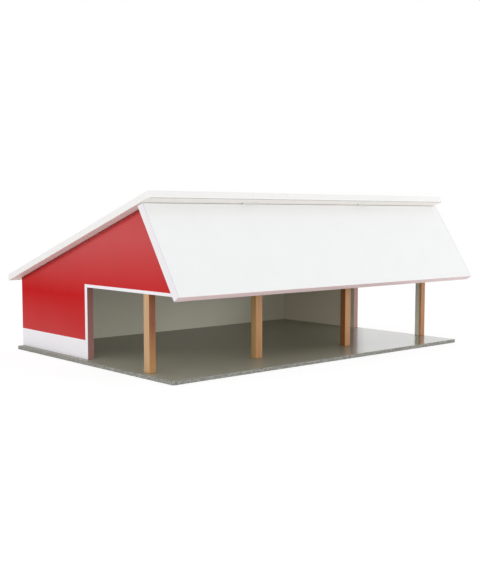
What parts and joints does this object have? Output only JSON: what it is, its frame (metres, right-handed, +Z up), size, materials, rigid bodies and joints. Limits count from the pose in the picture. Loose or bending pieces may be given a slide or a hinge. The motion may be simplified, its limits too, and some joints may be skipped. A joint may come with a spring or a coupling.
{
  "type": "toy machine shed",
  "caption": "Wooden toy machine shed with an open post front, side doorways, a steep front roof panel and a long rear roof board hinged at the ridge.",
  "frame": {"origin": "middle of the base board's underside", "axes": "+X along the ridge to the right seen from the open front, +Y from the open front to the rear wall, +Z up"},
  "size_m": [0.622, 0.45, 0.2467],
  "materials": {
    "base_paint": "painted, semi-gloss",
    "wall_paint": "painted, satin",
    "board_white": "white-coated, satin",
    "edge_strip": "satin",
    "rail_wood": "bare",
    "post_wood": "bare",
    "hinge_steel": "white enamel",
    "pin_steel": "bare",
    "screw_steel": "zinc-plated",
    "brad_steel": "painted over",
    "dowel_wood": "bare"
  },
  "bodies": {
    "shed": {"base_board": "base_paint", "left_side_wall": "wall_paint", "right_side_wall": "wall_paint", "rear_wall": "board_white", "front_roof_panel": "board_white", "front_panel_edging": "edge_strip", "ridge_rail": "rail_wood", "left_outer_post": "post_wood", "left_inner_post": "post_wood", "right_inner_post": "post_wood", "right_outer_post": "post_wood", "left_hinge_fixed_leaf": "hinge_steel", "right_hinge_fixed_leaf": "hinge_steel", "left_hinge_pin": "pin_steel", "right_hinge_pin": "pin_steel", "hinge_rail_screws": "screw_steel", "wall_base_screws": "screw_steel", "post_base_screws": "screw_steel", "front_panel_brads": "brad_steel", "wall_corner_dowels": "dowel_wood", "ridge_rail_dowels": "dowel_wood", "post_top_dowels": "dowel_wood"},
    "roof_lid": {"rear_roof_board": "board_white", "roof_front_edging": "edge_strip", "roof_rear_edging": "edge_strip", "roof_gable_edging": "edge_strip", "left_hinge_moving_leaf": "hinge_steel", "right_hinge_moving_leaf": "hinge_steel", "hinge_lid_screws": "screw_steel"}
  },
  "joints": [
    {"name": "roof_lift", "type": "hinge", "parent": "shed", "child": "roof_lid", "pos_m": [0.005, -0.14882, 0.2328], "axis": [1, 0, 0], "range_deg": [0, 78]}
  ]
}
